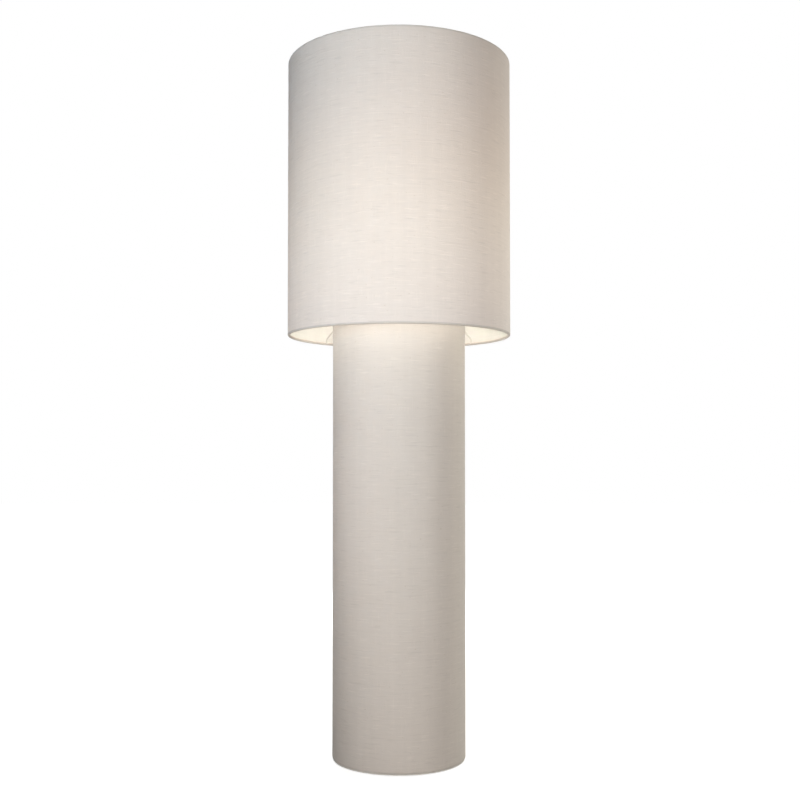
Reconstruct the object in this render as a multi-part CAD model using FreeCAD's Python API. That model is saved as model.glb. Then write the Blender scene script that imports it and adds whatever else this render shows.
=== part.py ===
import FreeCAD, Part
import math
import os

# Column floor lamp: a linen-covered column on a steel foot, with a larger drum shade round its top.
# Millimetres. The origin is the lamp's middle at floor level, +Z is up and the front faces -Y.

Vector = FreeCAD.Vector
AXIS = Vector(0, 0, 1)
COS_45 = math.cos(math.radians(45))
SAME_POINT = 1e-6
ARC_SHARE = 0.45

# Driving dimensions: the two drums
column_diameter = 297.0
column_height = 1000.0
shade_diameter = 500.0
shade_height = 614.0
shade_overlap = 58.0
cloth = 0.5
liner = 0.8
hoop_wire = 4.0
hem_slack = 0.4

# Clearances
seat_gap = 0.2
register_gap = 0.6
thread_gap = 0.05
slide_gap = 0.3

# Foot
foot_height = 2.0
foot_radius = 10.0
foot_count = 6
foot_inset = 23.5
foot_rounding = 0.5
base_step = 2.5
base_thickness = 10.0
base_inset = 1.5
base_chamfer = 1.0

# Stem and its flange
stem_radius = 12.5
stem_wall = 2.0
flange_edge = 12.0
flange_thickness = 6.0
collar_radius = 18.0
collar_height = 14.0
flange_screw_count = 3
flange_screw_circle = 33.0
flange_screw_radius = 3.0
flange_screw_grip = 7.0
flange_screw_flats = 10.0
flange_screw_head = 4.0
plug_length = 25.0
stem_bolt_radius = 4.0
stem_bolt_length = 22.0
stem_bolt_flats = 13.0
stem_bolt_head = 5.3
washer_radius = 15.0
washer_thickness = 1.6

# Disc that closes the column and carries the lampholders
disc_thickness = 2.0
disc_skirt_depth = 12.0
disc_skirt_wall = 2.0

# Wiring
inlet_cord_diameter = 7.0
inlet_clearance = 0.1
inlet_above_base = 9.5
grommet_body_radius = 6.0
grommet_flange_radius = 8.5
grommet_flange_thickness = 1.5
grommet_groove_gap = 0.15
terminal_depth = 18.0
terminal_rounding = 1.0
terminal_distance = 70.0
terminal_poles = 3
terminal_pitch = 10.0
terminal_hole_radius = 1.7
terminal_screw_hole_radius = 2.2
terminal_screw_hole_depth = 8.0
terminal_head_radius = 2.6
small_screw_radius = 2.0
small_head_radius = 4.0
small_head_height = 2.6
small_head_rounding = 0.8
small_screw_grip = 6.0
riser_diameter = 6.8
lead_diameter = 3.0
lead_clearance = 0.6
splice_wall = 0.8
splice_length = 30.0
lead_slot_width = 8.0
lead_slot_height = 34.0
riser_slot_width = 9.0
riser_slot_height = 40.0
lead_end_below_top = 100.0
lead_bend_below_top = 55.0
lead_out_below_top = 35.0
riser_bend_out = 30.0
riser_bend_up = 66.0
earth_lead_diameter = 2.4
earth_tag_thickness = 1.0
earth_tag_radius = 5.0
earth_barrel_length = 8.0
earth_barrel_wall = 0.5
earth_screw_x = 60.0
earth_screw_y = 45.0
earth_lead_turn = 38.0
earth_lead_lap = 1.0
earth_lead_offset = 5.0

# Lampholders and lamps
lamp_count = 3
lamp_circle = 48.0
first_lamp_angle = 90.0
nipple_radius = 4.95
nipple_bore = 3.5
nipple_below = 10.0
nipple_above = 6.0
nipple_nut_flats = 14.0
nipple_nut_height = 4.0
holder_thickness = 5.85
holder_wall = 2.2
holder_floor = 3.0
holder_base_height = 20.0
holder_ledge_height = 14.0
holder_ledge = 2.8
holder_base_rounding = 4.0
holder_insert_height = 10.0
holder_pedestal_radius = 8.0
holder_pedestal_height = 4.0
holder_contact_radius = 4.0
holder_contact_height = 1.0
holder_mouth_gap = 1.3
holder_lip = 2.0
holder_edge = 1.0
socket_wall = 0.6
screw_cap_radius = 13.1
screw_cap_gap = 0.4
screw_cap_below_neck = 1.0
thread_depth = 0.8
thread_start = 0.8
thread_pitch = 3.63
cap_wall = 0.5
tip_height = 4.5
tip_contact_radius = 5.0
tip_contact_height = 1.5
tip_rounding = 1.0
tip_cone_rise = 1.0
tip_plug_rise = 3.0
bulb_radius = 30.0
bulb_middle = 77.0
bulb_neck_radius = 13.6
bulb_neck_height = 26.0
glass = 1.0
glass_in_cap = 3.0
glass_shoulder = 0.5

# Shade carrier, its posts and nuts
post_count = 4
lamp_clearance = 10.0
post_radius = 6.0
post_height = 26.0
post_hole_depth = 10.0
post_screw_grip = 8.0
post_stud_radius = 2.5
post_stud_above_nut = 2.0
carrier_width = 14.0
carrier_thickness = 3.0
nut_radius = 8.0
nut_height = 9.0
nut_collar_radius = 6.0
nut_collar_height = 3.0
nut_groove_count = 24
nut_groove_depth = 0.5
nut_groove_side = 1.0
nut_chamfer = 0.5
stay_wire = 4.0
stay_count = 4
first_stay_angle = 45.0
stay_foot_height = 10.0
stay_bend = 10.0
stay_lap = 1.0
stay_overrun = 1.0
notch_margin = 1.5

# Levels and radii that follow from the sizes above
column_radius = column_diameter / 2
shade_radius = shade_diameter / 2
step_z = foot_height + base_step
base_top = step_z + base_thickness
column_low = step_z + seat_gap
disc_under = column_height + seat_gap
disc_top = disc_under + disc_thickness
shade_low = column_height - shade_overlap
shade_high = shade_low + shade_height
hem_radius = hoop_wire / 2 + hem_slack
register_radius = column_radius - 2 * (cloth + hem_radius) - register_gap
foot_circle = column_radius - foot_inset
flange_radius = flange_screw_circle + flange_edge
stem_bore = stem_radius - stem_wall
inlet_z = base_top + inlet_above_base
lead_z = base_top + flange_thickness + lead_clearance + riser_diameter / 2
terminal_high = 2 * lead_z - base_top
terminal_width = terminal_poles * terminal_pitch
terminal_middle = terminal_distance + terminal_depth / 2
lead_spread = (riser_diameter - lead_diameter) / 2
carrier_low = disc_top + post_height
carrier_high = carrier_low + carrier_thickness
carrier_inner = lamp_circle + bulb_radius + lamp_clearance
carrier_outer = carrier_inner + carrier_width
post_circle = carrier_inner + carrier_width / 2
insert_top = disc_top + holder_ledge_height + holder_insert_height
contact_low = insert_top + holder_pedestal_height
bulb_low = contact_low + holder_contact_height + slide_gap
socket_bore = screw_cap_radius + screw_cap_gap
socket_outer = socket_bore + socket_wall
holder_radius = socket_outer + thread_gap + holder_thickness
holder_high = bulb_low + bulb_neck_height - holder_mouth_gap


def tube(outer, inner, low, high):
    """Round tube on the lamp's axis."""
    wall = Part.makeCylinder(outer, high - low, Vector(0, 0, low))
    return wall.cut(Part.makeCylinder(inner, high - low, Vector(0, 0, low)))


def rod(radius, low, high, x=0.0, y=0.0):
    """Upright round rod."""
    return Part.makeCylinder(radius, high - low, Vector(x, y, low))


def hexagon(flats, low, high, x=0.0, y=0.0):
    """Upright hexagonal prism, sized across its flats."""
    reach = flats / 2 / math.cos(math.radians(30))
    corners = [
        Vector(x + reach * math.cos(math.radians(60 * i)), y + reach * math.sin(math.radians(60 * i)), low)
        for i in range(6)
    ]
    return Part.Face(Part.makePolygon(corners + corners[:1])).extrude(Vector(0, 0, high - low))


def turned(start, *steps):
    """Solid turned about the Z axis. A step is (radius, z) for a line, or a (middle, end) pair for an arc."""
    edges = []
    here = Vector(start[0], 0, start[1])
    for step in steps + (start,):
        if isinstance(step[0], tuple):
            middle = Vector(step[0][0], 0, step[0][1])
            there = Vector(step[1][0], 0, step[1][1])
            edges.append(Part.Arc(here, middle, there).toShape())
        else:
            there = Vector(step[0], 0, step[1])
            if there.distanceToPoint(here) < SAME_POINT:
                continue
            edges.append(Part.LineSegment(here, there).toShape())
        here = there
    return Part.Face(Part.Wire(edges)).revolve(Vector(0, 0, 0), AXIS, 360)


def on_circle(radius, angle):
    """X and Y of a point at an angle, in degrees from +X."""
    return radius * math.cos(math.radians(angle)), radius * math.sin(math.radians(angle))


def angles(count, first=0.0):
    """Evenly spaced angles in degrees."""
    return [first + 360.0 * i / count for i in range(count)]


def cut_all(shape, tools):
    """Shape with every tool taken out of it."""
    for tool in tools:
        shape = shape.cut(tool)
    return shape


def turn(shape, angle, x=0.0, y=0.0):
    """Copy of a shape turned about an upright line."""
    copy = shape.copy()
    copy.rotate(Vector(x, y, 0), AXIS, angle)
    return copy


def move(shape, x, y, z=0.0):
    """Copy of a shape moved by a distance."""
    copy = shape.copy()
    copy.translate(Vector(x, y, z))
    return copy


def bent_wire(points, diameter, bend=None):
    """Round wire or lead along straight runs joined by tangent arcs. Without a bend the arcs are as large as fit."""
    edges = []
    here = points[0]
    length = 0.0
    for before, corner, after in zip(points, points[1:], points[2:]):
        back = before - corner
        onward = after - corner
        shorter = min(back.Length, onward.Length)
        half_turn = (math.pi - back.getAngle(onward)) / 2
        radius = ARC_SHARE * shorter / math.tan(half_turn)
        if bend is not None:
            radius = min(bend, radius)
        reach = radius * math.tan(half_turn)
        back.normalize()
        onward.normalize()
        inwards = back + onward
        inwards.normalize()
        entry = corner + back * reach
        leave = corner + onward * reach
        middle = corner + inwards * (radius / math.cos(half_turn) - radius)
        edges.append(Part.LineSegment(here, entry).toShape())
        edges.append(Part.Arc(entry, middle, leave).toShape())
        length += here.distanceToPoint(entry) + 2 * half_turn * radius
        here = leave
        print("bend radius %.1f for a %.1f mm wire" % (radius, diameter))
    edges.append(Part.LineSegment(here, points[-1]).toShape())
    length += here.distanceToPoint(points[-1])
    section = Part.Wire(Part.makeCircle(diameter / 2, points[0], points[1] - points[0]))
    solid = Part.Wire(edges).makePipeShell([section], True, False)
    expected = math.pi * diameter * diameter / 4 * length
    print("wire volume %.4f of section times length %.1f" % (solid.Volume / expected, length))
    return solid


def drum_cloth(radius, low, high):
    """Linen of a drum, rolled over the hoop at each end and turned back against the liner."""
    outer = hem_radius + cloth
    middle = radius - outer
    inside = radius - cloth - liner
    bottom = low + outer
    top = high - outer
    return turned(
        (radius, bottom),
        (radius, top),
        ((middle, top + outer), (middle - outer, top)),
        ((middle - outer * COS_45, top - outer * COS_45), (middle, top - outer)),
        (inside, top - outer),
        (inside, top - hem_radius),
        (middle, top - hem_radius),
        ((middle - hem_radius * COS_45, top - hem_radius * COS_45), (middle - hem_radius, top)),
        ((middle, top + hem_radius), (middle + hem_radius, top)),
        (radius - cloth, bottom),
        ((middle, bottom - hem_radius), (middle - hem_radius, bottom)),
        ((middle - hem_radius * COS_45, bottom + hem_radius * COS_45), (middle, bottom + hem_radius)),
        (inside, bottom + hem_radius),
        (inside, bottom + outer),
        (middle, bottom + outer),
        ((middle - outer * COS_45, bottom + outer * COS_45), (middle - outer, bottom)),
        ((middle, bottom - outer), (radius, bottom)),
    )


def drum_liner(radius, low, high):
    """Stiff backing sheet of a drum, between its hoops."""
    ends = cloth + 2 * hem_radius
    return tube(radius - cloth, radius - cloth - liner, low + ends, high - ends)


def drum_hoop(radius, z):
    """Wire hoop inside a drum's hem, at the height of its centre."""
    return Part.makeTorus(radius - cloth - hem_radius, hoop_wire / 2, Vector(0, 0, z))


def lower_hoop_z(low):
    """Height of the hoop in a lower hem."""
    return low + cloth + hem_radius


def upper_hoop_z(high):
    """Height of the hoop in an upper hem."""
    return high - cloth - hem_radius


def screw(head_radius, seat, grip, x, y):
    """Small pan-head screw pointing down, with its head on a seat."""
    shank = rod(small_screw_radius, seat - grip, seat, x, y)
    head = rod(head_radius, seat, seat + small_head_height, x, y)
    head = head.makeFillet(small_head_rounding, [head.Edges[0]])
    return shank.fuse(head).removeSplitter()


def foot_parts():
    """Weighted plate, its feet and the stem's flange."""
    edge = register_radius - base_chamfer
    plate = turned(
        (0, foot_height),
        (column_radius - base_inset, foot_height),
        (column_radius - base_inset, step_z),
        (register_radius, step_z),
        (register_radius, base_top - base_chamfer),
        (edge, base_top),
        (0, base_top),
    )
    holes = []
    screws = []
    for angle in angles(flange_screw_count):
        x, y = on_circle(flange_screw_circle, angle)
        low = base_top - flange_screw_grip
        seat = base_top + flange_thickness
        holes.append(rod(flange_screw_radius + thread_gap, low, seat, x, y))
        head = hexagon(flange_screw_flats, seat, seat + flange_screw_head, x, y)
        screws.append(rod(flange_screw_radius, low, seat, x, y).fuse(head))
    small_hole = small_screw_radius + thread_gap
    small_low = base_top - small_screw_grip
    holes.append(rod(small_hole, small_low, base_top, earth_screw_x, earth_screw_y))
    holes.append(rod(small_hole, small_low, base_top, terminal_pitch / 2, terminal_middle))
    flange = turned(
        (stem_radius + thread_gap, base_top),
        (flange_radius, base_top),
        (flange_radius, base_top + flange_thickness),
        (collar_radius, base_top + flange_thickness),
        (collar_radius, base_top + collar_height),
        (stem_radius + thread_gap, base_top + collar_height),
    )
    feet = []
    for angle in angles(foot_count):
        x, y = on_circle(foot_circle, angle)
        foot = rod(foot_radius, 0, foot_height, x, y)
        feet.append(foot.makeFillet(foot_rounding, [foot.Edges[2]]))
    return {
        "base_plate": cut_all(plate, holes),
        "base_feet": Part.makeCompound(feet),
        "stem_flange": cut_all(flange, holes),
        "stem_flange_screws": Part.makeCompound(screws),
    }


def stem_parts():
    """Stem tube, the plug in its top and the bolt that draws the top disc down."""
    stem = tube(stem_radius, stem_bore, base_top, disc_under)
    slot_top = column_height - lead_bend_below_top + lead_slot_height / 2
    slots = []
    for angle in angles(lamp_count, first_lamp_angle):
        slot = Part.makeBox(stem_radius * 2, lead_slot_width, lead_slot_height)
        slot.translate(Vector(0, -lead_slot_width / 2, slot_top - lead_slot_height))
        slots.append(turn(slot, angle))
    riser_z = lead_z + riser_bend_up * (1 - stem_radius / riser_bend_out)
    slot = Part.makeBox(riser_slot_width, stem_radius * 2, riser_slot_height)
    slot.translate(Vector(-riser_slot_width / 2, 0, riser_z - riser_slot_height / 2))
    slots.append(slot)
    bolt_seat = disc_top + washer_thickness
    bolt_low = bolt_seat - stem_bolt_length
    bolt = rod(stem_bolt_radius, bolt_low, bolt_seat)
    bolt = bolt.fuse(hexagon(stem_bolt_flats, bolt_seat, bolt_seat + stem_bolt_head))
    plug_low = disc_under - plug_length
    return {
        "stem_tube": cut_all(stem, slots),
        "stem_plug": tube(stem_bore - thread_gap, stem_bolt_radius + thread_gap, plug_low, disc_under),
        "stem_bolt": bolt,
        "stem_washer": tube(washer_radius, stem_bolt_radius + thread_gap, disc_top, bolt_seat),
    }


def wiring_parts():
    """Inlet grommet, terminal block, earth and the leads up the stem to the lampholders."""
    parts = {}
    wall_inside = column_radius - cloth - liner
    sag = column_radius - math.sqrt(column_radius**2 - grommet_flange_radius**2)
    inner_face = wall_inside - sag - grommet_groove_gap
    outer_face = column_radius + grommet_groove_gap
    back = inner_face - grommet_flange_thickness
    front = outer_face + grommet_flange_thickness
    along = Vector(0, 1, 0)

    def plug(radius, low, high):
        return Part.makeCylinder(radius, high - low, Vector(0, low, inlet_z), along)

    grommet = plug(grommet_flange_radius, back, inner_face)
    grommet = grommet.fuse(plug(grommet_body_radius, inner_face, outer_face))
    grommet = grommet.fuse(plug(grommet_flange_radius, outer_face, front))
    parts["cable_grommet"] = grommet.cut(plug(inlet_cord_diameter / 2 + inlet_clearance, back, front))

    block = Part.makeBox(terminal_width, terminal_depth, terminal_high - base_top)
    block.translate(Vector(-terminal_width / 2, terminal_distance, base_top))
    upright = [edge for edge in block.Edges if edge.BoundBox.ZLength > terminal_rounding]
    block = block.makeFillet(terminal_rounding, upright)
    holes = []
    for pole in range(terminal_poles):
        x = (pole + 0.5) * terminal_pitch - terminal_width / 2
        start = Vector(x, terminal_distance, lead_z)
        holes.append(Part.makeCylinder(terminal_hole_radius, terminal_depth, start, along))
        low = terminal_high - terminal_screw_hole_depth
        holes.append(rod(terminal_screw_hole_radius, low, terminal_high, x, terminal_middle))
    hold_x = terminal_pitch / 2
    seat = terminal_high - small_head_height
    holes.append(rod(small_screw_radius + thread_gap, base_top, seat, hold_x, terminal_middle))
    holes.append(rod(terminal_head_radius + thread_gap, seat, terminal_high, hold_x, terminal_middle))
    parts["terminal_block"] = cut_all(block, holes)
    grip = seat - base_top + small_screw_grip
    parts["terminal_screw"] = screw(terminal_head_radius, seat, grip, hold_x, terminal_middle)

    tag_high = base_top + earth_tag_thickness
    grip = small_screw_grip
    parts["earth_screw"] = screw(small_head_radius, tag_high, grip, earth_screw_x, earth_screw_y)
    tag = rod(earth_tag_radius, base_top, tag_high, earth_screw_x, earth_screw_y)
    barrel_radius = earth_lead_diameter / 2 + earth_barrel_wall
    barrel_z = base_top + barrel_radius
    barrel_start = earth_screw_y + earth_tag_radius - earth_tag_thickness
    barrel = Part.makeCylinder(
        barrel_radius, earth_barrel_length, Vector(earth_screw_x, barrel_start, barrel_z), along
    )
    tag = tag.fuse(barrel)
    tag = tag.cut(rod(small_screw_radius + thread_gap, base_top, tag_high, earth_screw_x, earth_screw_y))
    lead_start = Vector(earth_screw_x, barrel_start + earth_barrel_length - earth_lead_lap, barrel_z)
    lead_end = Vector(terminal_width / 2, terminal_middle + earth_lead_offset, lead_z)
    route = [
        lead_start,
        Vector(earth_screw_x, terminal_middle, barrel_z),
        Vector(earth_lead_turn, lead_end.y, lead_z),
        lead_end,
    ]
    earth = bent_wire(route, earth_lead_diameter)
    parts["earth_lead"] = tag.fuse(earth)

    riser_end = column_height - lead_end_below_top
    riser = [
        Vector(0, terminal_distance, lead_z),
        Vector(0, riser_bend_out, lead_z),
        Vector(0, 0, lead_z + riser_bend_up),
        Vector(0, 0, riser_end),
    ]
    parts["riser_lead"] = bent_wire(riser, riser_diameter)
    splice_inner = riser_diameter / 2 + thread_gap
    splice_low = riser_end - splice_length / 2
    parts["lead_splice"] = tube(splice_inner + splice_wall, splice_inner, splice_low, splice_low + splice_length)
    for number, angle in enumerate(angles(lamp_count, first_lamp_angle), start=1):
        route = [
            Vector(lead_spread, 0, riser_end),
            Vector(lead_spread, 0, column_height - lead_bend_below_top),
            Vector(lamp_circle, 0, column_height - lead_out_below_top),
            Vector(lamp_circle, 0, disc_top + holder_ledge_height),
        ]
        parts["holder_lead_%d" % number] = turn(bent_wire(route, lead_diameter), angle)
    return parts


def column_parts():
    """Linen sleeve, its liner and hoops, and the disc that closes its top."""
    inlet = Part.makeCylinder(
        grommet_body_radius + thread_gap, column_diameter, Vector(0, 0, inlet_z), Vector(0, 1, 0)
    )
    disc = turned(
        (0, disc_under),
        (register_radius - disc_skirt_wall, disc_under),
        (register_radius - disc_skirt_wall, disc_under - disc_skirt_depth),
        (register_radius, disc_under - disc_skirt_depth),
        (register_radius, disc_under),
        (column_radius - base_inset, disc_under),
        (column_radius - base_inset, disc_top),
        (0, disc_top),
    )
    holes = [rod(stem_bolt_radius + thread_gap, disc_under, disc_top)]
    for angle in angles(lamp_count, first_lamp_angle):
        holes.append(rod(nipple_radius + thread_gap, disc_under, disc_top, *on_circle(lamp_circle, angle)))
    for angle in angles(post_count):
        holes.append(rod(small_screw_radius + thread_gap, disc_under, disc_top, *on_circle(post_circle, angle)))
    return {
        "column_cloth": drum_cloth(column_radius, column_low, column_height).cut(inlet),
        "column_liner": drum_liner(column_radius, column_low, column_height).cut(inlet),
        "column_hoop_lower": drum_hoop(column_radius, lower_hoop_z(column_low)),
        "column_hoop_upper": drum_hoop(column_radius, upper_hoop_z(column_height)),
        "top_disc": cut_all(disc, holes),
    }


def lampholder(x, y):
    """One upright lampholder on the top disc, with its nipple, nut and contact."""
    low = disc_top
    base_high = low + holder_base_height
    inner = holder_radius - holder_wall
    curve = holder_base_rounding
    slope = curve * (1 - COS_45)
    bore = nipple_radius + thread_gap
    base = turned(
        (bore, low),
        (holder_radius - curve, low),
        ((holder_radius - slope, low + slope), (holder_radius, low + curve)),
        (holder_radius, base_high),
        (inner, base_high),
        (inner, low + holder_ledge_height),
        (inner - holder_ledge, low + holder_ledge_height),
        (inner - holder_ledge, low + holder_floor),
        (bore, low + holder_floor),
    )
    insert = rod(inner - thread_gap, low + holder_ledge_height, insert_top)
    insert = insert.fuse(rod(holder_pedestal_radius, insert_top, contact_low))
    grip = socket_outer + thread_gap
    lip_low = holder_high - holder_lip
    shell = turned(
        (inner, base_high),
        (holder_radius, base_high),
        (holder_radius, holder_high - holder_edge),
        (holder_radius - holder_edge, holder_high),
        (socket_bore, holder_high),
        (socket_bore, lip_low),
        (grip, lip_low),
        (grip, insert_top),
        (inner, insert_top),
    )
    nipple_low = disc_under - nipple_below
    nipple_high = low + holder_floor + nipple_above
    nut_low = disc_under - nipple_nut_height
    parts = {
        "base": base,
        "insert": insert,
        "shell": shell,
        "socket": tube(socket_outer, socket_bore, insert_top, lip_low - seat_gap),
        "contact": rod(holder_contact_radius, contact_low, contact_low + holder_contact_height),
        "nipple": tube(nipple_radius, nipple_bore, nipple_low, nipple_high),
        "nut": hexagon(nipple_nut_flats, nut_low, disc_under).cut(rod(bore, nut_low, disc_under)),
    }
    return {name: move(shape, x, y) for name, shape in parts.items()}


def bulb_outline(inset):
    """Radii and heights of the globe: where it meets the neck, the flank's middle and the sphere's lower end."""
    rise = bulb_middle - bulb_neck_height
    swing = 2 * math.atan((bulb_radius - bulb_neck_radius) / rise)
    flank = rise / math.sin(swing) - bulb_radius
    centre_radius = bulb_neck_radius + flank
    radius = bulb_radius - inset
    flank += inset
    neck = (bulb_neck_radius - inset, bulb_neck_height)
    half = swing / 2
    flank_middle = (centre_radius - flank * math.cos(half), bulb_neck_height + flank * math.sin(half))
    join = (radius * math.cos(swing), bulb_middle - radius * math.sin(swing))
    side = (radius * math.cos(math.pi / 4), bulb_middle + radius * math.sin(math.pi / 4))
    return neck, flank_middle, join, side, radius


def bulb(x, y):
    """One lamp: opal globe, screw cap and contact tip."""
    neck, flank_middle, join, side, radius = bulb_outline(0.0)
    neck_in, flank_middle_in, join_in, side_in, radius_in = bulb_outline(glass)
    mouth = bulb_neck_height - glass_in_cap
    shoulder = bulb_neck_height - glass_shoulder
    inside_cap = screw_cap_radius - thread_depth - cap_wall - thread_gap
    globe = turned(
        (inside_cap, mouth),
        (inside_cap, shoulder),
        neck,
        (flank_middle, join),
        (side, (0, bulb_middle + radius)),
        (0, bulb_middle + radius_in),
        (side_in, join_in),
        (flank_middle_in, neck_in),
        (inside_cap - glass, shoulder),
        (inside_cap - glass, mouth),
    )
    cap_high = bulb_neck_height - screw_cap_below_neck
    root = screw_cap_radius - thread_depth
    outline = [(root - cap_wall, tip_height), (root, tip_height)]
    thread_low = tip_height + thread_start
    for i in range(int((cap_high - thread_low) / thread_pitch)):
        low = thread_low + i * thread_pitch
        crest = (screw_cap_radius, low + thread_pitch / 2)
        outline.append((root, low))
        outline.append((crest, (root, low + thread_pitch)))
    outline.append((root, cap_high))
    outline.append((root - cap_wall, cap_high))
    cap = turned(*outline)
    tip_radius = root - cap_wall - thread_gap
    tip = turned(
        (0, 0),
        (tip_contact_radius - tip_rounding, 0),
        (tip_contact_radius, tip_contact_height),
        (tip_radius, tip_height + tip_cone_rise),
        (tip_radius, tip_height + tip_plug_rise),
        (0, tip_height + tip_plug_rise),
    )
    parts = {"globe": globe, "cap": cap, "tip": tip}
    return {name: move(shape, x, y, bulb_low) for name, shape in parts.items()}


def lamp_parts():
    """Three lampholders with their lamps."""
    parts = {}
    groups = {"contact": [], "nipple": [], "nut": []}
    for number, angle in enumerate(angles(lamp_count, first_lamp_angle), start=1):
        x, y = on_circle(lamp_circle, angle)
        for name, shape in lampholder(x, y).items():
            if name in groups:
                groups[name].append(shape)
            else:
                parts["holder_%d_%s" % (number, name)] = shape
        for name, shape in bulb(x, y).items():
            parts["bulb_%d_%s" % (number, name)] = shape
    for name, shapes in groups.items():
        parts["holder_%ss" % name] = Part.makeCompound(shapes)
    return parts


def thumb_nut(x, y):
    """Knurled nut on a post's stud."""
    low = carrier_high
    collar_high = low + nut_collar_height
    high = low + nut_height
    nut = turned(
        (post_stud_radius + thread_gap, low),
        (nut_collar_radius, low),
        (nut_collar_radius, collar_high),
        (nut_radius - nut_chamfer, collar_high),
        (nut_radius, collar_high + nut_chamfer),
        (nut_radius, high - nut_chamfer),
        (nut_radius - nut_chamfer, high),
        (post_stud_radius + thread_gap, high),
    )
    groove = Part.makeBox(nut_groove_side, nut_groove_side, high - collar_high)
    groove.translate(Vector(-nut_groove_side / 2, -nut_groove_side / 2, collar_high))
    groove = turn(groove, 45)
    groove.translate(Vector(nut_radius + nut_groove_side * COS_45 - nut_groove_depth, 0, 0))
    nut = cut_all(nut, [turn(groove, angle) for angle in angles(nut_groove_count)])
    return move(nut, x, y)


def stay_route():
    """Points of one stay in the X-Z plane, from the lower hoop up and in to the carrier's rim."""
    foot_x = shade_radius - cloth - liner - stay_wire / 2 - seat_gap
    foot_z = lower_hoop_z(shade_low) + stay_lap
    level = (carrier_low + carrier_high) / 2
    return [
        Vector(foot_x, 0, foot_z),
        Vector(foot_x, 0, foot_z + stay_foot_height),
        Vector(column_radius, 0, level),
        Vector(carrier_outer - stay_overrun, 0, level),
    ]


def shade_parts():
    """Drum shade with its hoops, stays, carrier ring, posts and knurled nuts."""
    hoop_z = lower_hoop_z(shade_low)
    lower_hoop = drum_hoop(shade_radius, hoop_z)
    rim = rod(carrier_outer, carrier_low - stay_wire, carrier_high + stay_wire)
    stay = cut_all(bent_wire(stay_route(), stay_wire, stay_bend), [lower_hoop, rim])
    notch_width = stay_wire + 2 * notch_margin
    notch_depth = shade_radius - cloth - liner - stay_route()[0].x + stay_wire / 2 + notch_margin
    notch = Part.makeBox(notch_depth, notch_width, hem_radius + 2 * cloth)
    notch.translate(Vector(shade_radius - cloth - liner - notch_depth, -notch_width / 2, hoop_z + stay_lap / 2))
    stay_angles = angles(stay_count, first_stay_angle)
    cloth_shell = drum_cloth(shade_radius, shade_low, shade_high)
    cloth_shell = cut_all(cloth_shell, [turn(notch, angle) for angle in stay_angles])
    stays = [turn(stay, angle) for angle in stay_angles]

    carrier = tube(carrier_outer, carrier_inner, carrier_low, carrier_high)
    posts = []
    screws = []
    parts = {}
    for number, angle in enumerate(angles(post_count), start=1):
        x, y = on_circle(post_circle, angle)
        carrier = carrier.cut(rod(post_stud_radius + slide_gap, carrier_low, carrier_high, x, y))
        stud_high = carrier_high + nut_height + post_stud_above_nut
        post = rod(post_radius, disc_top, carrier_low, x, y).fuse(rod(post_stud_radius, carrier_low, stud_high, x, y))
        post = post.cut(rod(small_screw_radius + thread_gap, disc_top, disc_top + post_hole_depth, x, y))
        posts.append(post)
        shank = rod(small_screw_radius, disc_under, disc_top + post_screw_grip, x, y)
        head = rod(small_head_radius, disc_under - small_head_height, disc_under, x, y)
        screws.append(shank.fuse(head))
        parts["thumb_nut_%d" % number] = thumb_nut(x, y)
    parts.update({
        "shade_cloth": cloth_shell,
        "shade_liner": drum_liner(shade_radius, shade_low, shade_high),
        "shade_hoop_upper": drum_hoop(shade_radius, upper_hoop_z(shade_high)),
        "shade_hoop_lower": lower_hoop,
        "shade_stays": Part.makeCompound(stays),
        "shade_carrier": carrier,
        "shade_posts": Part.makeCompound(posts),
        "post_screws": Part.makeCompound(screws),
    })
    return parts


def main():
    """Write one STEP file for each node."""
    os.makedirs("parts", exist_ok=True)
    nodes = {}
    for group in (foot_parts, stem_parts, wiring_parts, column_parts, lamp_parts, shade_parts):
        nodes.update(group())
    for name, shape in nodes.items():
        if not shape.isValid():
            print("not valid:", name)
        shape.exportStep("parts/%s.step" % name)
    print(len(nodes), "nodes")


main()
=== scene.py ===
import math

from bisect import bisect_right

import bmesh
import bpy
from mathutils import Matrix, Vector, noise


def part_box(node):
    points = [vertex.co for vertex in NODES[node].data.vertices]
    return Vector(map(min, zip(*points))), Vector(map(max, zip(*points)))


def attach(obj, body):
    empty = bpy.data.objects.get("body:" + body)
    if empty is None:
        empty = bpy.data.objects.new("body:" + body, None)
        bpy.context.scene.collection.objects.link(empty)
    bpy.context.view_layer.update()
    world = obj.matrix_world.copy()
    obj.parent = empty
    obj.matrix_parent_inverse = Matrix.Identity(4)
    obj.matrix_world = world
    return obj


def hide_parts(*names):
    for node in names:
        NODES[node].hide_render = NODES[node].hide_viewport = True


# Column floor lamp: two linen drums with rolled hems, the upper one lit from inside, and the
# metalwork that holds them. Lengths are in metres.
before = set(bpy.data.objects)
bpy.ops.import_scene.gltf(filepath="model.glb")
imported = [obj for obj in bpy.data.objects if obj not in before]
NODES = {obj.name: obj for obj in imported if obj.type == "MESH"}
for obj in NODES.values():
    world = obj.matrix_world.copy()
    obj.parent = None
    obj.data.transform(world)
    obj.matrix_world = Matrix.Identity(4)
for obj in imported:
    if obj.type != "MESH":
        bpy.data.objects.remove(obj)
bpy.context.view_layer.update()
LAMPS = (1, 2, 3)
NUTS = (1, 2, 3, 4)

# Make-up of the drums, as the solids have it
CLOTH = 0.0005
LINER = 0.0008
HEM_RADIUS = 0.0024  # inside of the cloth's roll round its hoop
LAP = 0.012
LAP_RISE = 0.045  # length before the lap in which the sheet rises over its start
GLUE = 0.00005
NOTCH_HALF = 0.0035
INLET_RADIUS = 0.006
REAR = math.pi / 2

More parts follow.
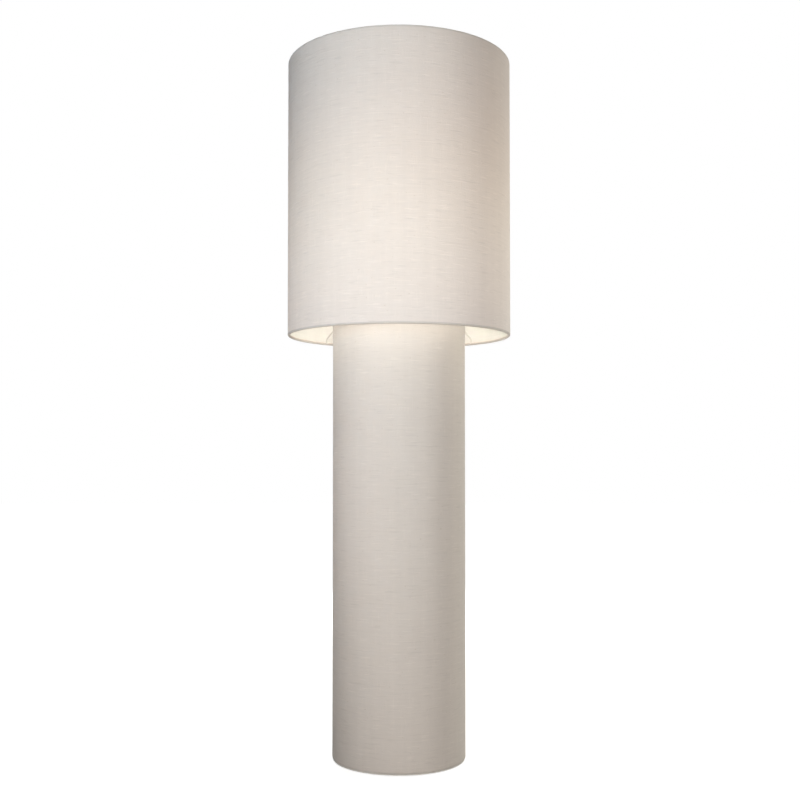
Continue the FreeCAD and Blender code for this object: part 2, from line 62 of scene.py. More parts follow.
# Grid of their sheets. A column's number counts round the drum from its seam
COLUMNS = 256
STAY_COLUMNS = (32, 96, 160, 224)
INLET_COLUMN = 8
SHADE_ROWS = 34
COLUMN_ROWS = 54
BACKING_ROWS = 6
ROLL_STEPS = 18
NOTCH_ROWS = 6
CLOSEST_ROWS = 0.002
FLAT = "flat sheet"

# Unevenness of glued linen
PUCKER_HEIGHT = 0.00010
PUCKER_REACH = 0.025  # from a hem
PUCKERS_PER_METRE = 70
PUCKER_UPRIGHT = 0.4
WAVE_HEIGHT = 0.00012
WAVES_PER_METRE = 9

# Meshes
MERGE = 1e-7
SHARP_ANGLE = 40.0

# Weave. Slubs: grain along and across the weft, noise at which they start and are full, layer
# of noise, and weight
SLUBS = (
    ((0.0360, 0.0036), (0.58, 0.74), 0.0, 1.0),  # thick weft
    ((0.0420, 0.0044), (0.58, 0.76), 7.0, -1.0),  # thin weft
    ((0.0036, 0.0450), (0.60, 0.76), 3.0, 0.5),  # thick warp
)
# Changes of tone: grain, detail and weight
TONES = (
    ((0.120, 0.0045), 1.0, 0.06),  # streaks
    ((0.150, 0.1100), 2.0, 0.05),  # clouds
    ((0.018, 0.4500), 1.5, 0.06),  # upright stripes
)
WEFT_GRAIN = (0.0140, 0.0008)
WARP_GRAIN = (0.0008, 0.0140)
FLECK_GRAIN = (0.0055, 0.0034)
FLECK_NOISE = (0.78, 0.86)
FLECK_DEPTH = 0.40

# Linen and backing. Each strength of slubs and threads is a change of tone
LINEN_COLOUR = (0.700, 0.645, 0.595, 1.0)
LINEN_SLUBS = 0.058
LINEN_THREADS = 0.055
FLECK_COLOUR = (0.520, 0.440, 0.360, 1.0)
# A hem is darker over these heights, by the tone below. Part of it is the cloth's own tone, doubled
# and glued there, and part is painted shade of the roll round its hoop.
HEM_SHADE_EDGE = (0.0025, 0.0055)  # heights over which the tone of a hem ends
HEM_TONE_AND_SHADE = 0.91
BACKING_COLOUR = (0.870, 0.855, 0.815, 1.0)
BACKING_SLUBS = 0.02
BACKING_THREADS = 0.03

# Light through the shade by height, from its lower edge to its upper one
SHADE_GLOW = 0.182
GLOW_STOPS = (
    (0.00, (0.62, 0.54, 0.51)),
    (0.10, (0.84, 0.69, 0.60)),
    (0.24, (1.00, 0.82, 0.68)),
    (0.40, (0.96, 0.74, 0.55)),
    (0.60, (0.69, 0.47, 0.31)),
    (0.80, (0.31, 0.17, 0.11)),
    (1.00, (0.18, 0.12, 0.09)),
)
GLOW_HEM = (0.0025, 0.0060)  # heights over which the glow begins
LAP_SHADE = 0.25

# Opal glass of the lamps
OPAL_COLOUR = (0.86, 0.83, 0.78, 1.0)
GLASS_COLOUR = (1.000, 0.880, 0.660, 1.0)
GLASS_GLOW = 0.45
GLASS_NECK = 0.45  # share of the glow that is left at a globe's neck
GLASS_FULL = 0.6  # height in a globe from which its glow is full

# Light of the lamps on the pieces round them, in watts. Those right beside them get less
BESIDE_LAMPS = ("top_", "holder_", "shade_carrier")
LAMP_COLOUR = (1.000, 0.975, 0.875)
LAMP_TO_GLOBE = 1.06
SHADE_LAMP = 6.7
METAL_LAMP = 0.5
WALL_LIGHT = 0.055
WALL_LIGHTS = 16
WALL_LIGHT_INSET = 0.016
WALL_LIGHT_HEIGHT = 0.055
WALL_LIGHT_RADIUS = 0.014

# Hard finishes: colour, roughness, metal, size of grain and of blotches, change of tone and
# height of the grain
HARD_FINISHES = {
    "white powder coat": ((0.80, 0.78, 0.73), 0.42, 0.0, 0.0009, 0.030, 0.06, 0.00006),
    "zinc plate": ((0.60, 0.60, 0.58), 0.34, 1.0, 0.0005, 0.012, 0.12, 0.00002),
    "satin nickel": ((0.60, 0.57, 0.52), 0.34, 1.0, 0.0004, 0.008, 0.08, 0.00002),
    "black rubber": ((0.030, 0.030, 0.030), 0.75, 0.0, 0.0007, 0.030, 0.30, 0.00008),
    "white moulding": ((0.82, 0.80, 0.75), 0.38, 0.0, 0.0012, 0.050, 0.06, 0.00002),
    "glazed ceramic": ((0.84, 0.83, 0.79), 0.16, 0.0, 0.0040, 0.030, 0.06, 0.00003),
    "rolled aluminium": ((0.74, 0.74, 0.73), 0.32, 1.0, 0.0004, 0.006, 0.10, 0.00002),
    "brass": ((0.72, 0.50, 0.20), 0.30, 1.0, 0.0005, 0.004, 0.15, 0.00002),
    "lead sheath": ((0.74, 0.73, 0.70), 0.45, 0.0, 0.0010, 0.030, 0.06, 0.00002),
    "black glass": ((0.015, 0.015, 0.018), 0.12, 0.0, 0.0020, 0.030, 0.06, 0.00001),
}
FINISHED_PIECES = {
    "white powder coat": (
        "base_plate", "top_disc", "shade_carrier", "shade_stays",
        "shade_hoop_upper", "shade_hoop_lower", "column_hoop_upper", "column_hoop_lower",
    ),
    "zinc plate": (
        "stem_tube", "stem_flange", "stem_plug", "stem_bolt", "stem_washer", "stem_flange_screws",
        "earth_screw", "terminal_screw", "post_screws", "shade_posts", "holder_nipples",
        "holder_nuts",
    ),
    "satin nickel": [f"thumb_nut_{n}" for n in NUTS],
    "black rubber": ("base_feet", "cable_grommet", "lead_splice"),
    "white moulding": (
        "terminal_block", *[f"holder_{n}_{part}" for n in LAMPS for part in ("base", "shell")],
    ),
    "glazed ceramic": [f"holder_{n}_insert" for n in LAMPS],
    "rolled aluminium": [
        *[f"holder_{n}_socket" for n in LAMPS], *[f"bulb_{n}_cap" for n in LAMPS],
    ],
    "brass": ("holder_contacts",),
    "lead sheath": ("riser_lead", "earth_lead", *[f"holder_lead_{n}" for n in LAMPS]),
    "black glass": [f"bulb_{n}_tip" for n in LAMPS],
}

# Studio lamps: name, place, aim, width, height, watts, colour, spread in degrees, and whether
# metal mirrors them
STUDIO_LAMPS = (
    ("front", (0.05, -3.20, 0.50), (0, 0, 1.3), 0.4, 0.4, 27.9, (1.0, 0.94, 0.885), 120, True),
    ("left", (-1.60, -2.60, 0.90), (0, 0, 1.4), 1.0, 1.0, 4.4, (0.58, 0.79, 0.97), 60, True),
    ("left edge", (-2.00, -0.40, 0.50), (0, 0, 0.7), 0.4, 0.6, 0.42, (1.0, 0.80, 0.68), 40, True),
    ("right edge", (1.80, 1.30, 1.20), (0, 0, 0.9), 0.5, 2.0, 32.5, (1.0, 0.985, 0.90), 180, True),
    ("rear", (-0.70, 2.90, 1.30), (0, 0, 0.9), 0.8, 1.6, 38.0, (1.0, 0.96, 0.92), 180, True),
    ("top", (0.0, 0.2, 3.60), (0, 0, 1.0), 1.4, 1.4, 15.5, (1.0, 0.89, 0.72), 180, False),
)
FLOOR_HALF = 14.0
FLOOR_COLOUR = (0.50, 0.50, 0.49, 1.0)  # in what it throws back on the lamp
SEEN_FLOOR_COLOUR = (0.80, 0.80, 0.80, 1.0)
SEEN_FLOOR_GLOW = (0.80, 1.02)  # near the lamp and far from it
FLOOR_GLOW_REACH = (0.5, 3.0)
SKY_COLOUR = (0.95, 0.97, 1.0, 1.0)
SKY_STRENGTH = 0.04
WHITE = (1.0, 1.0, 1.0, 1.0)

# Camera, at the photograph's height and distance
EYE = (0.0, -2.464, 0.6645)
EYE_PITCH = 0.0293
FOCAL_PIXELS = 1094.4
PICTURE = 800.0
SENSOR = 36.0
CENTRE_SHIFT = (0.0013, 0.035)


# Shader helpers

def put(tree, kind, inputs=None, **settings):
    """New shader node. Each input takes a value or another node's output."""
    node = tree.nodes.new(kind)
    for name, value in settings.items():
        setattr(node, name, value)
    dress(tree, node, inputs or {})
    return node


def dress(tree, node, inputs):
    """Sets a node's inputs, each to a value or to another node's output."""
    for key, value in inputs.items():
        if isinstance(value, bpy.types.NodeSocket):
            tree.links.new(value, node.inputs[key])
        else:
            node.inputs[key].default_value = value


def calc(tree, operation, a, b=0.0, c=0.0):
    """Output of a Math node."""
    return put(tree, "ShaderNodeMath", {0: a, 1: b, 2: c}, operation=operation).outputs[0]


def part_of(tree, vector, axis):
    """One of a vector's parts."""
    return put(tree, "ShaderNodeSeparateXYZ", {0: vector}).outputs[axis]


def stretched_noise(tree, vector, grain, detail=2.0, layer=0.0):
    """Noise on a flat sheet with a grain of a given size each way. Each layer is another pattern."""
    across, along = grain
    inputs = {0: vector, 1: (1 / across, 1 / along, 1.0), 2: (0.0, 0.0, layer)}
    scaled = put(tree, "ShaderNodeVectorMath", inputs, operation="MULTIPLY_ADD").outputs[0]
    inputs = {"Vector": scaled, "Scale": 1.0, "Detail": detail}
    return put(tree, "ShaderNodeTexNoise", inputs).outputs["Fac"]


def rise(tree, value, low, high):
    """Smooth step from 0 to 1 between two values."""
    inputs = {0: value, 1: low, 2: high, 3: 0.0, 4: 1.0}
    return put(tree, "ShaderNodeMapRange", inputs, interpolation_type="SMOOTHSTEP").outputs[0]


def tinted(tree, colour, tone):
    """Colour made lighter or darker by a tone."""
    grey = put(tree, "ShaderNodeCombineColor", {0: tone, 1: tone, 2: tone}).outputs[0]
    inputs = {"Factor": 1.0, 6: colour, 7: grey}
    mix = put(tree, "ShaderNodeMix", inputs, data_type="RGBA", blend_type="MULTIPLY")
    return mix.outputs[2]


def bump(tree, height, distance, strength):
    """Normal of a Bump node."""
    inputs = {"Height": height, "Distance": distance, "Strength": strength}
    return put(tree, "ShaderNodeBump", inputs).outputs["Normal"]


def flat_place(tree):
    """Place on a drum's sheet as it was cut flat."""
    return put(tree, "ShaderNodeUVMap", uv_map=FLAT).outputs["UV"]


def new_group(name, inputs, outputs):
    """Node group of numbers, apart from the sockets whose names end in Vector or Colour."""
    tree = bpy.data.node_groups.new(name, "ShaderNodeTree")
    for side, sockets in (("INPUT", inputs), ("OUTPUT", outputs)):
        for socket in sockets:
            kind = {"Vector": "Vector", "Colour": "Color"}.get(socket.split()[-1], "Float")
            tree.interface.new_socket(socket, in_out=side, socket_type="NodeSocket" + kind)
    return tree, tree.nodes.new("NodeGroupInput").outputs, tree.nodes.new("NodeGroupOutput")


def use_group(tree, group, inputs):
    """Outputs of a group placed in a material with its own values."""
    return put(tree, "ShaderNodeGroup", inputs, node_tree=group).outputs


def new_material(name):
    """Material with a Principled shader, and its object coordinates."""
    material = bpy.data.materials.new(name)
    material.use_nodes = True
    tree = material.node_tree
    where = put(tree, "ShaderNodeTexCoord").outputs["Object"]
    return material, tree, tree.nodes["Principled BSDF"], where


# Shared effects

def make_linen_weave():
    """Plain-woven linen: scattered slubs, threads both ways, flecks and slow changes of tone."""
    inputs = ["Flat Vector", "Slubs", "Threads"]
    tree, given, out = new_group("linen weave", inputs, ["Tone", "Height", "Fleck"])
    flat = given["Flat Vector"]
    slubs = 0.0
    for grain, (start, full), layer, weight in SLUBS:
        slub = rise(tree, stretched_noise(tree, flat, grain, 1.0, layer), start, full)
        slubs = calc(tree, "MULTIPLY_ADD", slub, weight, slubs)
    weft = stretched_noise(tree, flat, WEFT_GRAIN)
    warp = stretched_noise(tree, flat, WARP_GRAIN)
    threads = calc(tree, "SUBTRACT", calc(tree, "ADD", weft, warp), 1.0)
    tone = 1.0
    for grain, detail, weight in TONES:
        change = calc(tree, "SUBTRACT", stretched_noise(tree, flat, grain, detail), 0.5)
        tone = calc(tree, "MULTIPLY_ADD", change, weight, tone)
    tone = calc(tree, "MULTIPLY_ADD", slubs, given["Slubs"], tone)
    tone = calc(tree, "MULTIPLY_ADD", threads, given["Threads"], tone)
    fleck = rise(tree, stretched_noise(tree, flat, FLECK_GRAIN, 0.0), *FLECK_NOISE)
    dress(tree, out, {
        "Tone": tone,
        "Height": calc(tree, "MULTIPLY_ADD", slubs, 0.6, threads),
        "Fleck": calc(tree, "MULTIPLY", fleck, FLECK_DEPTH),
    })
    return tree


def make_lamp_glow():
    """Lamp light through a drum, by height. None comes through its hems, and less through its lap."""
    inputs = ["Vector", "Flat Vector", "Low", "High", "Round"]
    tree, given, out = new_group("lamp glow", inputs, ["Glow Colour"])
    height = part_of(tree, given["Vector"], "Z")
    above = calc(tree, "SUBTRACT", height, given["Low"])
    below = calc(tree, "SUBTRACT", given["High"], height)
    share = calc(tree, "DIVIDE", above, calc(tree, "ADD", above, below))
    ramp = put(tree, "ShaderNodeValToRGB", {0: share})
    ramp.color_ramp.interpolation = "B_SPLINE"
    stops = ramp.color_ramp.elements
    while len(stops) < len(GLOW_STOPS):
        stops.new(0.5)
    for stop, (place, colour) in zip(stops, GLOW_STOPS):
        stop.position = place
        stop.color = (*colour, 1.0)
    hem = rise(tree, calc(tree, "MINIMUM", above, below), *GLOW_HEM)
    doubled = calc(tree, "GREATER_THAN", part_of(tree, given["Flat Vector"], "X"), given["Round"])
    lap = calc(tree, "MULTIPLY_ADD", doubled, -LAP_SHADE, 1.0)
    level = calc(tree, "MULTIPLY", hem, lap)
    dress(tree, out, {"Glow Colour": tinted(tree, ramp.outputs[0], level)})
    return tree


def make_wear():
    """Fine grain and slow blotches for hard finishes."""
    inputs = ["Vector", "Grain Size", "Blotch Size"]
    tree, given, out = new_group("fine wear", inputs, ["Grain", "Blotch"])
    for name in ("Grain", "Blotch"):
        scale = calc(tree, "DIVIDE", 1.0, given[name + " Size"])
        inputs = {"Vector": given["Vector"], "Scale": scale, "Detail": 3.0}
        dress(tree, out, {name: put(tree, "ShaderNodeTexNoise", inputs).outputs["Fac"]})
    return tree


LINEN_WEAVE = make_linen_weave()
LAMP_GLOW = make_lamp_glow()
FINE_WEAR = make_wear()


# Materials

def linen(name, low, high):
    """Natural linen from height to height. Returns its parts, for more to be built on them."""
    material, tree, shader, where = new_material(name)
    flat = flat_place(tree)
    inputs = {"Flat Vector": flat, "Slubs": LINEN_SLUBS, "Threads": LINEN_THREADS}
    weave = use_group(tree, LINEN_WEAVE, inputs)
    height = part_of(tree, where, "Z")
    above = calc(tree, "SUBTRACT", height, low)
    below = calc(tree, "SUBTRACT", high, height)
    # Darker band at each hem: the doubled, glued cloth's own tone, plus painted shade of the roll.
    clear_of_hem_shade = rise(tree, calc(tree, "MINIMUM", above, below), *HEM_SHADE_EDGE)
    hem = calc(tree, "MULTIPLY_ADD", clear_of_hem_shade, 1.0 - HEM_TONE_AND_SHADE, HEM_TONE_AND_SHADE)
    colour = tinted(tree, LINEN_COLOUR, calc(tree, "MULTIPLY", weave["Tone"], hem))
    inputs = {"Factor": weave["Fleck"], 6: colour, 7: FLECK_COLOUR}
    dress(tree, shader, {
        "Base Color": put(tree, "ShaderNodeMix", inputs, data_type="RGBA").outputs[2],
        "Roughness": calc(tree, "MULTIPLY_ADD", weave["Height"], 0.05, 0.86),
        "Normal": bump(tree, weave["Height"], 0.00035, 0.7),
        "Specular IOR Level": 0.25,
        "Sheen Weight": 0.12,
        "Sheen Roughness": 0.5,
    })
    return material, tree, shader, where, flat, weave


def lit_linen(name, low, high, around):
    """Linen with lamp light coming through. It is double beyond its length round the drum."""
    material, tree, shader, where, flat, weave = linen(name, low, high)
    inputs = {"Vector": where, "Flat Vector": flat, "Low": low, "High": high, "Round": around}
    glow = use_group(tree, LAMP_GLOW, inputs)["Glow Colour"]
    dress(tree, shader, {
        "Emission Color": tinted(tree, glow, weave["Tone"]),
        "Emission Strength": SHADE_GLOW,
    })
    return material


def backing(name):
    """Matt white sheet inside a drum, with the cloth's threads just showing through."""
    material, tree, shader, _ = new_material(name)
    flat = flat_place(tree)
    inputs = {"Flat Vector": flat, "Slubs": BACKING_SLUBS, "Threads": BACKING_THREADS}
    weave = use_group(tree, LINEN_WEAVE, inputs)
    dress(tree, shader, {
        "Base Color": tinted(tree, BACKING_COLOUR, weave["Tone"]),
        "Roughness": calc(tree, "MULTIPLY_ADD", weave["Height"], 0.08, 0.48),
        "Normal": bump(tree, weave["Height"], 0.0001, 0.4),
        "Specular IOR Level": 0.35,
    })
    return material


def hard_finish(name, colour, rough, metal, grain, blotch, tone, relief):
    """Painted, plated or moulded surface with fine grain, blotches and slight relief."""
    material, tree, shader, where = new_material(name)
    inputs = {"Vector": where, "Grain Size": grain, "Blotch Size": blotch}
    wear = use_group(tree, FINE_WEAR, inputs)
    grainy = calc(tree, "SUBTRACT", wear["Grain"], 0.5)
    cloudy = calc(tree, "SUBTRACT", wear["Blotch"], 0.5)
    change = calc(tree, "ADD", calc(tree, "MULTIPLY", grainy, 0.4), cloudy)
    dress(tree, shader, {
        "Base Color": tinted(tree, (*colour, 1.0), calc(tree, "MULTIPLY_ADD", change, tone, 1.0)),
        "Roughness": calc(tree, "MULTIPLY_ADD", change, 0.22, rough),
        "Normal": bump(tree, wear["Grain"], relief, 0.6),
        "Metallic": metal,
    })
    return material


def lit_opal(name, low, high):
    """Opal glass of a lit lamp, whose glow grows from its neck at one height to full at another."""
    material, tree, shader, where = new_material(name)
    full = rise(tree, part_of(tree, where, "Z"), low, high)
    level = calc(tree, "MULTIPLY_ADD", full, 1.0 - GLASS_NECK, GLASS_NECK)
    inputs = {"Vector": where, "Grain Size": 0.0008, "Blotch Size": 0.02}
    wear = use_group(tree, FINE_WEAR, inputs)
    dress(tree, shader, {
        "Base Color": OPAL_COLOUR,
        "Emission Color": tinted(tree, GLASS_COLOUR, level),
        "Emission Strength": GLASS_GLOW,
        "Roughness": calc(tree, "MULTIPLY_ADD", wear["Blotch"], 0.1, 0.2),
    })
    return material


# Modelling helpers

def place_in_scene(name, data):
    """New object with a mesh, light or camera."""
    thing = bpy.data.objects.new(name, data)
    bpy.context.scene.collection.objects.link(thing)
    return thing


def add_piece(name, bm, material, body):
    """Finishes a mesh in place and lets it ride on its body."""
    bmesh.ops.remove_doubles(bm, verts=bm.verts, dist=MERGE)
    bmesh.ops.recalc_face_normals(bm, faces=bm.faces)
    mesh = bpy.data.meshes.new(name)
    bm.to_mesh(mesh)
    bm.free()
    mesh.shade_smooth()
    mesh.set_sharp_from_angle(angle=math.radians(SHARP_ANGLE))
    mesh.materials.append(material)
    piece = place_in_scene(name, mesh)
    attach(piece, body)
    return piece


def arc(middle, radius, first, last, steps):
    """Points of an arc in a drum's section, as (radius, height), between angles in degrees."""
    turns = [math.radians(first + (last - first) * i / steps) for i in range(steps + 1)]
    x, z = middle
    return [Vector((x + radius * math.cos(t), z + radius * math.sin(t))) for t in turns]


def lengths_along(points):
    """Length along a section up to each of its points."""
    lengths = [0.0]
    for a, b in zip(points, points[1:]):
        lengths.append(lengths[-1] + (b - a).length)
    return lengths


def linen_section(radius, low, high, levels):
    """Outside of a drum's linen: rolled round each hoop, and turned back to the backing sheet."""
    outer = HEM_RADIUS + CLOTH
    bottom = (radius - outer, low + outer)
    top = (radius - outer, high - outer)
    inside = radius - CLOTH - LINER
    return [
        Vector((inside, low + 2 * outer)),
        *arc(bottom, outer, -270, 0, ROLL_STEPS),
        *[Vector((radius, z)) for z in levels if bottom[1] < z < top[1]],
        *arc(top, outer, 0, 270, ROLL_STEPS),
        Vector((inside, high - 2 * outer)),
    ]


def columns_round(radius, close_in=()):
    """Places along a sheet, from its seam to its lap's end. Those beside a notch close in on it."""
    step = 2 * math.pi * radius / COLUMNS
    across = [i * step for i in range(COLUMNS + round(LAP / step) + 1)]
    for column in close_in:
        across[column - 1] = across[column] - NOTCH_HALF
        across[column + 1] = across[column] + NOTCH_HALF
    return across


def levels_between(low, high, count, close):
    """Heights of a sheet's grid lines, evenly spaced, with those that a hole needs."""
    even = [low + (high - low) * i / count for i in range(count + 1)]
    clear = [z for z in even if all(abs(z - near) > CLOSEST_ROWS for near in close)]
    return sorted(clear + close)


def round_inlet(inlet, reach):
    """Heights of grid lines round the inlet's hole, if the drum has one."""
    return [inlet + reach * k / 2 for k in (-2, -1, 0, 1, 2)] if inlet else []


def flat_sheet(across, along):
    """Sheet as cut, with grid lines at these places along its two sides."""
    bm = bmesh.new()
    columns, rows = len(across) - 1, len(along) - 1
    bmesh.ops.create_grid(bm, x_segments=columns, y_segments=rows, size=1.0)
    for vert in bm.verts:
        column = round((vert.co.x + 1) / 2 * columns)
        row = round((vert.co.y + 1) / 2 * rows)
        vert.co = (across[column], along[row], 0)
    return bm


def cut_out(bm, left, right, low, high):
    """Cuts a rectangle out of a flat sheet."""
    middles = [(face, face.calc_center_median()) for face in bm.faces]
    inside = [face for face, at in middles if left < at.x < right and low < at.y < high]
    bmesh.ops.delete(bm, geom=inside, context="FACES")


def punch(bm, middle, radius, reach):
    """Punches a round hole in a flat sheet, out of the grid lines within reach of its middle."""
    cut_out(bm, middle.x - reach, middle.x + reach, middle.y - reach, middle.y + reach)
    for vert in bm.verts:
        away = vert.co.xy - middle
        if max(abs(away.x), abs(away.y)) < reach:
            vert.co.xy = middle + away.normalized() * radius


def wind(bm, section, radius, seam, lift, slack):
    """Winds a flat sheet round the lamp's axis. Lift takes its end over, or under, its start."""
    flat = bm.loops.layers.uv.new(FLAT)
    for face in bm.faces:
        for corner in face.loops:
            corner[flat].uv = corner.vert.co.xy
    lengths = lengths_along(section)
    for vert in bm.verts:
        along, up = vert.co.x, vert.co.y
        i = min(bisect_right(lengths, up), len(lengths) - 1)
        a, b = section[i - 1], section[i]
        share = (up - lengths[i - 1]) / (lengths[i] - lengths[i - 1])
        before = (a - section[max(i - 2, 0)]) + (b - a)
        after = (b - a) + (section[min(i + 1, len(section) - 1)] - b)
        ahead = before.normalized().lerp(after.normalized(), share).normalized()
        place = a.lerp(b, share)
        t = min(max((along - 2 * math.pi * radius) / LAP_RISE + 1, 0.0), 1.0)
        angle = seam + along / radius
        outwards = Vector((math.cos(angle), math.sin(angle), 0))
        loose = slack(outwards * place.x + Vector((0, 0, place.y)), min(up, lengths[-1] - up))
        place += Vector((ahead.y, -ahead.x)) * (lift * t * t * (3 - 2 * t) + loose)
        vert.co = outwards * place.x + Vector((0, 0, place.y))
    bm.normal_update()


def linen_slack(point, from_edge):
    """Small unevenness of glued linen: puckers at its hems, and slow waves all over."""
    stretched = Vector((point.x, point.y, point.z * PUCKER_UPRIGHT))
    pucker = noise.noise(stretched * PUCKERS_PER_METRE) + 1
    wave = noise.noise(point * WAVES_PER_METRE) + 1
    return pucker * PUCKER_HEIGHT * math.exp(-from_edge / PUCKER_REACH) + wave * WAVE_HEIGHT


def no_slack(point, from_edge):
    """A stiff sheet lies true."""
    return 0.0


# The object

def linen_drum(part, body, material, seam, rows, notches=(), inlet=None):
    """Linen of a drum: cut flat, notched for stays, punched for the inlet, wound and hemmed."""
    low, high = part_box(part + "_cloth")
    radius = (high.x - low.x) / 2
    across = columns_round(radius, notches)
    reach = 2 * (across[2] - across[1])
    levels = levels_between(low.z, high.z, rows, round_inlet(inlet, reach))
    section = linen_section(radius, low.z, high.z, levels)
    lengths = lengths_along(section)
    bm = flat_sheet(across, lengths)
    for column in notches:
        cut_out(bm, across[column - 1], across[column + 1], 0, lengths[NOTCH_ROWS])
    if inlet:
        up = lengths[ROLL_STEPS + 1] + inlet - low.z - (HEM_RADIUS + CLOTH)
        punch(bm, Vector((across[INLET_COLUMN], up)), INLET_RADIUS, reach + GLUE)
    wind(bm, section, radius, seam, CLOTH + GLUE, linen_slack)
    bmesh.ops.solidify(bm, geom=bm.faces[:], thickness=CLOTH)
    piece = add_piece(part + "_linen", bm, material, body)
    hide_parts(part + "_cloth")
    return piece


def backing_drum(part, body, material, seam, inlet=None):
    """Backing sheet of a drum, wound inside its linen with its own lap."""
    low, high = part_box(part + "_liner")
    radius = (high.x - low.x) / 2
    across = columns_round(radius)
    reach = 2 * (across[2] - across[1])
    levels = levels_between(low.z, high.z, BACKING_ROWS, round_inlet(inlet, reach))
    section = [Vector((radius, z)) for z in levels]
    bm = flat_sheet(across, lengths_along(section))
    if inlet:
        middle = Vector((across[INLET_COLUMN], inlet - low.z))
        punch(bm, middle, INLET_RADIUS, reach + GLUE)
    wind(bm, section, radius, seam, -LINER - GLUE, no_slack)
    bmesh.ops.solidify(bm, geom=bm.faces[:], thickness=LINER)
    piece = add_piece(part + "_backing", bm, material, body)
    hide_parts(part + "_liner")
    return piece


def make_drums():
    """Linen and backing of the shade and the column. Returns those that the lamps light."""
    low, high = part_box("shade_cloth")
    glowing = lit_linen("shade linen", low.z, high.z, math.pi * (high.x - low.x))
    shade = linen_drum("shade", "shade", glowing, REAR, SHADE_ROWS, notches=STAY_COLUMNS)
    inner = backing_drum("shade", "shade", backing("shade backing sheet"), REAR)
    low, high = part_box("cable_grommet")
    inlet = (low.z + high.z) / 2
    seam = REAR - INLET_COLUMN * 2 * math.pi / COLUMNS
    low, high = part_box("column_cloth")
    unlit = linen("column linen", low.z, high.z)[0]
    column = linen_drum("column", "stand", unlit, seam, COLUMN_ROWS, inlet=inlet)
    backing_drum("column", "stand", backing("column backing sheet"), seam, inlet=inlet)
    return shade, inner, column


def give(material, names):
    """Gives a material to CAD nodes."""
    for name in names:
        NODES[name].data.materials.clear()
        NODES[name].data.materials.append(material)


def finish_solids():
    """Materials of the metal, moulded, rubber and glass pieces that keep their CAD shape."""
    for name, finish in HARD_FINISHES.items():
        give(hard_finish(name, *finish), FINISHED_PIECES[name])
    low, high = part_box("bulb_1_globe")
    opal = lit_opal("lit opal glass", low.z, low.z + (high.z - low.z) * GLASS_FULL)
    give(opal, [f"bulb_{n}_globe" for n in LAMPS])


# Studio

def seen_directly(tree):
    """1 for what the camera sees, also in a mirror or through glass."""
    path = put(tree, "ShaderNodeLightPath").outputs
    seen = calc(tree, "MAXIMUM", path["Is Camera Ray"], path["Is Glossy Ray"])
    return calc(tree, "MAXIMUM", seen, path["Is Transmission Ray"])


def emptied(owner):
    """Shader tree of a material or world, without its nodes."""
    owner.use_nodes = True
    owner.node_tree.nodes.clear()
    return owner.node_tree


def surface(tree, kind, unseen, seen):
    """Ends a tree in one shader for the light it gives and another for what the camera sees."""
    mix = put(tree, "ShaderNodeMixShader", {0: seen_directly(tree), 1: unseen, 2: seen})
    put(tree, kind, {"Surface": mix.outputs[0]})


def floor_finish():
    """Pale floor that turns to plain white away from the lamp."""
    material = bpy.data.materials.new("studio floor")
    tree = emptied(material)
    where = put(tree, "ShaderNodeTexCoord").outputs["Object"]
    away = put(tree, "ShaderNodeVectorMath", {0: where}, operation="LENGTH").outputs["Value"]
    near, far = SEEN_FLOOR_GLOW
    level = calc(tree, "MULTIPLY_ADD", rise(tree, away, *FLOOR_GLOW_REACH), far - near, near)
    plain = put(tree, "ShaderNodeBsdfDiffuse", {"Color": FLOOR_COLOUR})
    pale = put(tree, "ShaderNodeBsdfDiffuse", {"Color": SEEN_FLOOR_COLOUR})
    white = put(tree, "ShaderNodeEmission", {"Color": WHITE, "Strength": level})
    lifted = put(tree, "ShaderNodeAddShader", {0: pale.outputs[0], 1: white.outputs[0]})
    surface(tree, "ShaderNodeOutputMaterial", plain.outputs[0], lifted.outputs[0])
    return material


def make_floor():
    """Floor of the studio."""
    bm = bmesh.new()
    bmesh.ops.create_grid(bm, x_segments=1, y_segments=1, size=FLOOR_HALF)
    mesh = bpy.data.meshes.new("studio_floor")
    bm.to_mesh(mesh)
    bm.free()
    mesh.materials.append(floor_finish())
    floor = place_in_scene("studio_floor", mesh)
    return floor


def make_backdrop():
    """World that is white to the camera and gives the lamp a little even light."""
    world = bpy.data.worlds.new("studio")
    bpy.context.scene.world = world
    tree = emptied(world)
    soft = put(tree, "ShaderNodeBackground", {"Color": SKY_COLOUR, "Strength": SKY_STRENGTH})
    white = put(tree, "ShaderNodeBackground", {"Color": WHITE, "Strength": 1.0})
    surface(tree, "ShaderNodeOutputWorld", soft.outputs[0], white.outputs[0])


def studio_lamp(name, place, aim, width, height, power, colour, spread, mirrored):
    """Soft rectangular lamp of the studio."""
    data = bpy.data.lights.new(name, "AREA")
    data.shape = "RECTANGLE"
    data.size = width
    data.size_y = height
    data.energy = power
    data.color = colour
    data.spread = math.radians(spread)
    light = place_in_scene(name, data)
    light.location = place
    light.rotation_euler = (Vector(aim) - Vector(place)).to_track_quat("-Z", "Y").to_euler()
    light.visible_camera = False
    light.visible_glossy = mirrored


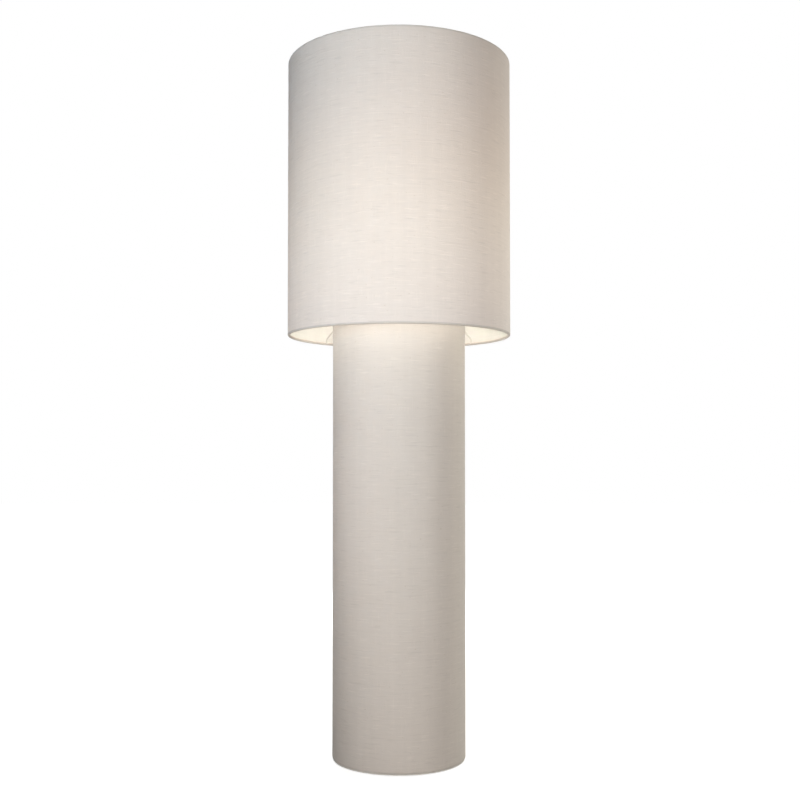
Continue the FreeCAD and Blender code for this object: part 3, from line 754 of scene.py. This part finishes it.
def make_camera():
    """Camera at the photograph's viewing angle."""
    data = bpy.data.cameras.new("camera")
    data.sensor_width = SENSOR
    data.lens = FOCAL_PIXELS / PICTURE * SENSOR
    data.shift_x, data.shift_y = CENTRE_SHIFT
    eye = place_in_scene("camera", data)
    eye.location = EYE
    eye.rotation_euler = (math.pi / 2 + EYE_PITCH, 0, 0)
    bpy.context.scene.camera = eye
    bpy.context.scene.view_settings.view_transform = "Standard"


# Light of the lamps

def receivers(name, pieces):
    """The only pieces that a light shines on."""
    lit = bpy.data.collections.new(name)
    for piece in pieces:
        lit.objects.link(piece)
    return lit


def round_light(name, place, radius, power, lit, body):
    """Round warm light on some pieces only, riding on a body."""
    data = bpy.data.lights.new(name, "POINT")
    data.energy = power
    data.color = LAMP_COLOUR
    data.shadow_soft_size = radius
    light = place_in_scene(name, data)
    light.location = place
    light.visible_camera = False
    light.light_linking.receiver_collection = lit
    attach(light, body)


def lamp_light(name, power, pieces):
    """Light of the three lamps on some of the pieces round them."""
    lit = receivers(name, pieces)
    for n in LAMPS:
        low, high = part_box("bulb_%d_globe" % n)
        radius = (high.x - low.x) / 2
        place = ((low.x + high.x) / 2, (low.y + high.y) / 2, high.z - radius)
        size = radius * LAMP_TO_GLOBE
        round_light("bulb_%d %s" % (n, name), place, size, power, lit, "bulb_%d" % n)


def wall_light(name, power, pieces):
    """Light that the shade's lit wall throws back, from a ring of places near its lower edge."""
    lit = receivers(name, pieces)
    low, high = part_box("shade_liner")
    ring = (high.x - low.x) / 2 - WALL_LIGHT_INSET
    for i in range(WALL_LIGHTS):
        turn = 2 * math.pi * i / WALL_LIGHTS
        place = (ring * math.cos(turn), ring * math.sin(turn), low.z + WALL_LIGHT_HEIGHT)
        round_light("%s %d" % (name, i + 1), place, WALL_LIGHT_RADIUS, power, lit, "shade")


make_camera()
shade_linen, shade_backing, column_linen = make_drums()
finish_solids()
studio_floor = make_floor()
make_backdrop()
for lamp in STUDIO_LAMPS:
    studio_lamp(*lamp)

shade_metal = [NODES[name] for name in ("shade_stays", "shade_hoop_upper", "shade_hoop_lower")]
cloth_and_floor = [shade_linen, shade_backing, column_linen, studio_floor]
lamp_light("light on the shade", SHADE_LAMP, cloth_and_floor + shade_metal)
beside = [NODES[name] for name in NODES if name.startswith(BESIDE_LAMPS)]
lamp_light("light beside the lamps", METAL_LAMP, beside)
wall_light("light off the wall", WALL_LIGHT, [column_linen])
